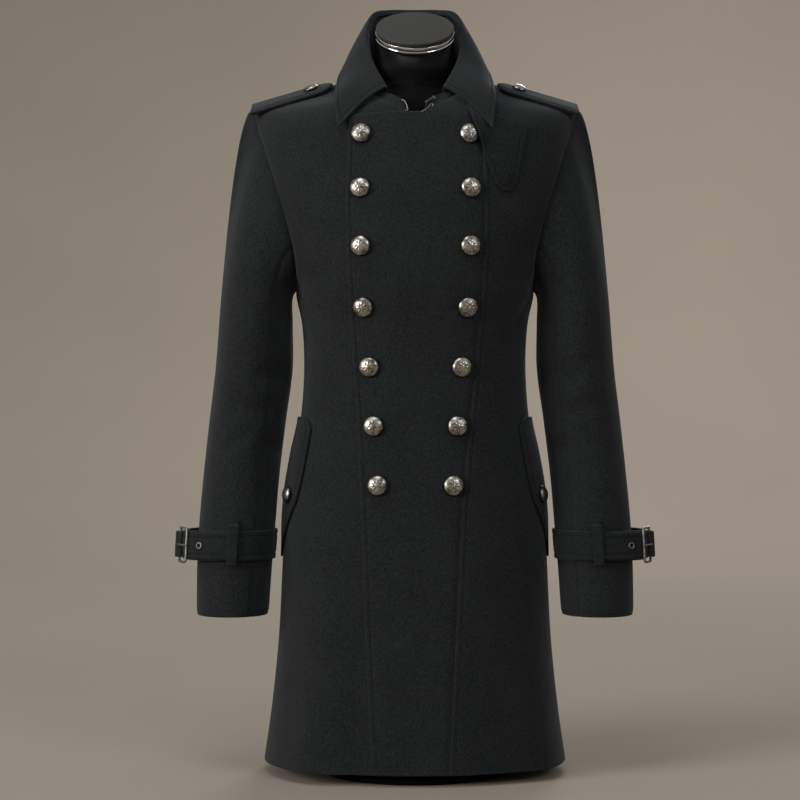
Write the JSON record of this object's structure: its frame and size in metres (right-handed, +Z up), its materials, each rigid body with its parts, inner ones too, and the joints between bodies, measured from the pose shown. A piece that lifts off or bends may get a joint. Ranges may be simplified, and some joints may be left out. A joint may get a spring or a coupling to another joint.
{
  "type": "double-breasted long coat on a dress form",
  "caption": "Double-breasted wool long coat with epaulettes, throat tab, strapped cuffs and pocket flaps, on a limbless dress form with a round base.",
  "frame": {"origin": "centre of the base plate's underside, on the floor", "axes": "+Z up, the coat's front faces -Y, +X is the wearer's left"},
  "size_m": [0.6356, 0.2784, 1.037],
  "materials": {
    "wool": "soft napped wool",
    "wool_trim": "soft napped wool",
    "button_metal": "worn silver",
    "fitting_metal": "satin",
    "form_gloss": "gloss black",
    "form_chrome": "satin and polished"
  },
  "bodies": {
    "root": {"back_left": "wool", "back_right": "wool", "front_right": "wool", "front_plastron": "wool", "front_left": "wool", "top_sleeve_left": "wool", "under_sleeve_left": "wool", "top_sleeve_right": "wool", "under_sleeve_right": "wool", "collar_stand": "wool", "collar_fall": "wool", "throat_tab": "wool_trim", "epaulette_left": "wool_trim", "epaulette_right": "wool_trim", "pocket_flap_left": "wool_trim", "pocket_flap_right": "wool_trim", "cuff_strap_left": "wool_trim", "cuff_strap_right": "wool_trim", "strap_tongue_left": "wool_trim", "strap_tongue_right": "wool_trim", "strap_loop_left": "wool_trim", "strap_loop_right": "wool_trim", "button_left_1": "button_metal", "button_right_1": "button_metal", "button_left_2": "button_metal", "button_right_2": "button_metal", "button_left_3": "button_metal", "button_right_3": "button_metal", "button_left_4": "button_metal", "button_right_4": "button_metal", "button_left_5": "button_metal", "button_right_5": "button_metal", "button_left_6": "button_metal", "button_right_6": "button_metal", "button_left_7": "button_metal", "button_right_7": "button_metal", "epaulette_button_left": "button_metal", "epaulette_button_right": "button_metal", "pocket_button_left": "button_metal", "pocket_button_right": "button_metal", "cuff_buckle_left": "fitting_metal", "cuff_buckle_right": "fitting_metal", "buckle_prong_left": "fitting_metal", "buckle_prong_right": "fitting_metal", "strap_eyelet_left": "fitting_metal", "strap_eyelet_right": "fitting_metal", "collar_hook_lower": "fitting_metal", "collar_hook_upper": "fitting_metal", "collar_eye": "fitting_metal", "form_torso": "form_gloss", "form_base": "form_gloss", "form_neck_ring": "form_chrome", "form_neck_cap": "form_chrome", "form_pole": "form_chrome"}
  },
  "joints": []
}
